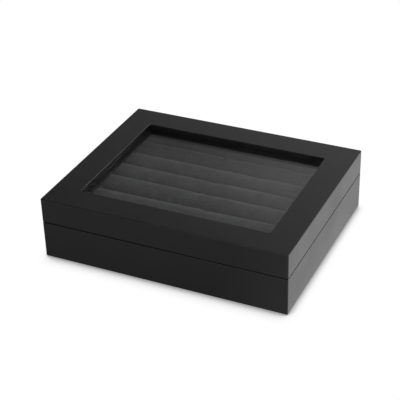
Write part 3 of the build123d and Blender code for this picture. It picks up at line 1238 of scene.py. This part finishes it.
@dataclass
class Studio:
    """A pale round table with a low curved rim, under soft lamps and a dim ceiling."""

    camera: StudioCamera = StudioCamera()
    lamps: Tuple[Softbox, ...] = (
        Softbox("front_top", (0.10, -1.05, 1.55), 1.5, 10.0),
        Softbox("back", (0.30, 0.72, 1.40), 0.8, 1.2),
        Softbox("right", (1.10, 0.60, 1.20), 1.0, 18.5),
        Softbox("edge_strip", (0.80, 1.10, 0.34), 0.22, 0.4),
    )
    table_radius: float = 2.4
    flat_rings: int = 7
    rim_curve: float = 0.5          # radius of the curve from the table up into its rim
    rim_points: int = 12
    rim_height: float = 0.75
    around: int = 96
    pale: Colour = (0.9, 0.9, 0.9)
    front_shade: Colour = (0.25, 0.25, 0.25)       # painted shade: the table is greyer in front of the box for bounced light, which the eye doesn't see
    front_shade_reach: Tuple[float, float] = (0.4, 0.9)    # it fades out over these distances from the middle
    front_shade_edge: float = -81 * MM     # Y of its edge near the box
    front_shade_far: float = -160 * MM     # Y from which on it is no lighter
    front_shade_glow: Tuple[float, float] = (0.208, 0.295)     # the painted shade's strength in reflections at those two
    front_shade_end: Tuple[float, float] = (40 * MM, 100 * MM)     # over these X it gets lighter
    front_shade_end_glow: float = 0.14     # by this much
    rim_glow: float = 0.03          # mirrored strength at the top of the rim, except at the back
    white_back: Tuple[float, float] = (0.9, 1.8)    # over these Y the rim turns white to the back
    # The shadow's reach and its two strengths are given in front of the box first and elsewhere
    # second, and the one turns into the other over the two Y of shade_turn.
    shade_turn: Tuple[float, float] = (-95 * MM, -80 * MM)
    shade_reach: Tuple[float, float] = (15 * MM, 10 * MM)
    shade_samples: int = 8
    soft_shade: Tuple[float, float] = (0.82, 0.28)
    tight_shade: Tuple[float, float] = (0.0, 0.34)
    soft_fade: float = 1.85
    tight_fade: float = 7.0
    open_white: float = 1.01        # before the shadow is taken off, and what is over 1 hides faint grain
    deepest: float = 0.018          # what is left of the white where the shadow is deepest
    dim: float = 0.012              # the ceiling's glow away from the brighter ones
    glows: Tuple[Glow, ...] = (
        Glow(-17.0, 23.5, 25.0, 0.192),
        Glow(-6.5, 22.5, 20.0, 0.392),
    )

    def build(self) -> None:
        """Makes the table, the lamps, the ceiling's glow and the camera."""
        scene = bpy.context.scene
        scene.view_settings.view_transform = "Standard"
        self.table()
        self.ceiling()
        for lamp in self.lamps:
            lamp.build()
        self.camera.build()
        log.info("studio: table, ceiling, %d lamps and the camera", len(self.lamps))

    def table(self) -> None:
        """Spins the table's profile: flat, then a quarter circle up into a short upright rim."""
        turn = np.linspace(0, np.pi / 2, self.rim_points)[1:]
        radii = np.concatenate([
            np.linspace(0.0, self.table_radius, self.flat_rings + 1)[1:],
            self.table_radius + self.rim_curve * np.sin(turn),
            [self.table_radius + self.rim_curve],
        ])
        heights = np.concatenate([
            np.zeros(self.flat_rings),
            self.rim_curve * (1 - np.cos(turn)),
            [self.rim_height],
        ])
        angle = np.linspace(0, 2 * np.pi, self.around, endpoint=False)
        rings = np.stack([
            radii[:, None] * np.cos(angle),
            radii[:, None] * np.sin(angle),
            heights[:, None] + 0 * angle,
        ], axis=-1)
        points = np.concatenate([rings.reshape(-1, 3), [[0.0, 0.0, 0.0]]])
        faces = ring_faces(*rings.shape[:2]).tolist()
        faces += fan_faces(len(points) - 1, 0, len(angle), outwards=True).tolist()
        mesh = bpy.data.meshes.new("studio_table")
        mesh.from_pydata(points.tolist(), [], faces)
        mesh.flip_normals()
        mesh.shade_smooth()
        mesh.materials.append(self.table_paint())
        table = bpy.data.objects.new("studio_table", mesh)
        bpy.context.scene.collection.objects.link(table)

    def table_paint(self) -> bpy.types.Material:
        """Pale paint, which the eye sees as white with a shadow, and gloss as white with painted shade.

        Light that bounces meets the paint itself, which is grey in front of the box: painted shade
        that stands in for the box's shadow there.  The camera, also through the pane, meets the
        white with the shadow.  Gloss meets the mirrored white, on the pane's lower face as on any
        other.  Rays that the pane only bends count as glossy too, but their glossy depth is 0.  The
        underside is clear.

        Returns:
            The material.
        """
        bench = Bench("pale_table")
        parts = bench.node("SeparateXYZ", Vector=bench.place)
        distance = bench.node("VectorMath", "LENGTH", Vector=bench.place)
        # painted shade on the table in front of the box, standing in for the box's shadow there; the camera
        # doesn't see it
        in_front = bench.step("MULTIPLY", bench.step("LESS_THAN", parts.outputs["Y"], self.front_shade_edge),
                              bench.between(distance.outputs["Value"], 1.0, 0.0, *self.front_shade_reach))
        paint = bench.node("BsdfDiffuse", Color=bench.blend(in_front, self.pale, self.front_shade))
        path = bench.node("LightPath")
        seen = bench.step("MAXIMUM", path.outputs["Is Camera Ray"], path.outputs["Is Transmission Ray"])
        bounced = bench.step("GREATER_THAN", path.outputs["Glossy Depth"], 0.5)
        in_gloss = bench.step("MULTIPLY", path.outputs["Is Glossy Ray"], bounced)
        underside = bench.node("NewGeometry").outputs["Backfacing"]
        shader = bench.either(seen, paint, self.shaded_white(bench, parts))
        shader = bench.either(in_gloss, shader, self.mirrored_white(bench, parts, in_front))
        return bench.show(bench.either(underside, shader, bench.node("BsdfTransparent")))

    def shaded_white(self, bench: Bench, parts: bpy.types.Node) -> bpy.types.Node:
        """White with the shadow where the box meets the table.

        Twice the share of the sky that the box hides within reach is 1 at the foot of a wall and
        0 at the reach's end.  Raised to the soft and to the tight fade, and times the strength of
        each, it is taken off white, down to the deepest tone.

        Args:
            bench: The paint's bench.
            parts: The node that gives X, Y and Z.

        Returns:
            The shader.
        """
        reach = bench.between(parts.outputs["Y"], *self.shade_reach, *self.shade_turn)
        open_sky = bench.node("AmbientOcclusion", Distance=reach)
        open_sky.samples = self.shade_samples
        near = bench.between(open_sky.outputs["AO"], 1.0, 0.0, 0.5, 1.0)
        left_over = self.open_white
        for strengths, fade in ((self.soft_shade, self.soft_fade), (self.tight_shade, self.tight_fade)):
            strength = bench.between(parts.outputs["Y"], *strengths, *self.shade_turn)
            shade = bench.step("MULTIPLY", bench.step("POWER", near, fade), strength)
            left_over = bench.step("SUBTRACT", left_over, shade)
        return bench.node("Emission", Strength=bench.step("MAXIMUM", left_over, self.deepest))

    def mirrored_white(self, bench: Bench, parts: bpy.types.Node,
                       in_front: bpy.types.NodeSocket) -> bpy.types.Node:
        """White without the shadow, but with painted shade in front of the box.

        The painted shade stands in for the box's shadow on the table in front, as gloss sees it.  It
        is lighter further off and at the right end, and its level goes over into 1, the level of
        the white, as in_front falls to 0.  All of it fades with the height of the rim, except at
        the back.

        Args:
            bench: The paint's bench.
            parts: The node that gives X, Y and Z.
            in_front: 1 where the shade is painted and 0 elsewhere.

        Returns:
            The shader.
        """
        off = bench.between(parts.outputs["Y"], *reversed(self.front_shade_glow), self.front_shade_far, self.front_shade_edge)
        end = bench.between(parts.outputs["X"], 0.0, self.front_shade_end_glow, *self.front_shade_end)
        short = bench.step("SUBTRACT", bench.step("ADD", off, end), 1.0)
        level = bench.step("ADD", bench.step("MULTIPLY", in_front, short), 1.0)
        fading = bench.between(parts.outputs["Z"], 1.0, self.rim_glow, 0.0, self.rim_height)
        at_back = bench.between(parts.outputs["Y"], 0.0, 1.0, *self.white_back)
        strength = bench.step("MULTIPLY", level, bench.step("MAXIMUM", fading, at_back))
        return bench.node("Emission", Strength=strength)

    def ceiling(self) -> None:
        """A world that is the sum of an even dim glow and the soft round ones, and white to the eye.

        A soft glow is a smooth step of the cosine of the angle from its middle, which is 1 in the
        middle and 0 from its edge outwards.
        """
        bench = Bench("ceiling", world=True)
        level = self.dim
        for glow in self.glows:
            nearness = bench.node("VectorMath", "DOT_PRODUCT", Vector=bench.coordinates.outputs["Generated"])
            bench.join(nearness.inputs[1], glow.towards())
            edge = math.cos(math.radians(glow.spread))
            fade = bench.between(nearness.outputs["Value"], 0.0, 1.0, edge, 1.0, smooth=True)
            level = bench.step("MULTIPLY_ADD", fade, glow.strength, level)
        shown = bench.step("MAXIMUM", level, bench.node("LightPath").outputs["Is Camera Ray"])
        bpy.context.scene.world = bench.show(bench.node("Background", Color=WHITE, Strength=shown))


def main() -> None:
    """Builds the studio and every sub-assembly in order, and reports each."""
    logging.basicConfig(level=logging.INFO, format="%(name)s %(message)s")
    shelf = Shelf()
    Studio().build()
    CarriedOver(shelf).dress()
    RollInsert(shelf).build()
    InnerStrips(shelf).build()
    FeltPad(shelf).build()


if __name__ == "__main__":
    main()
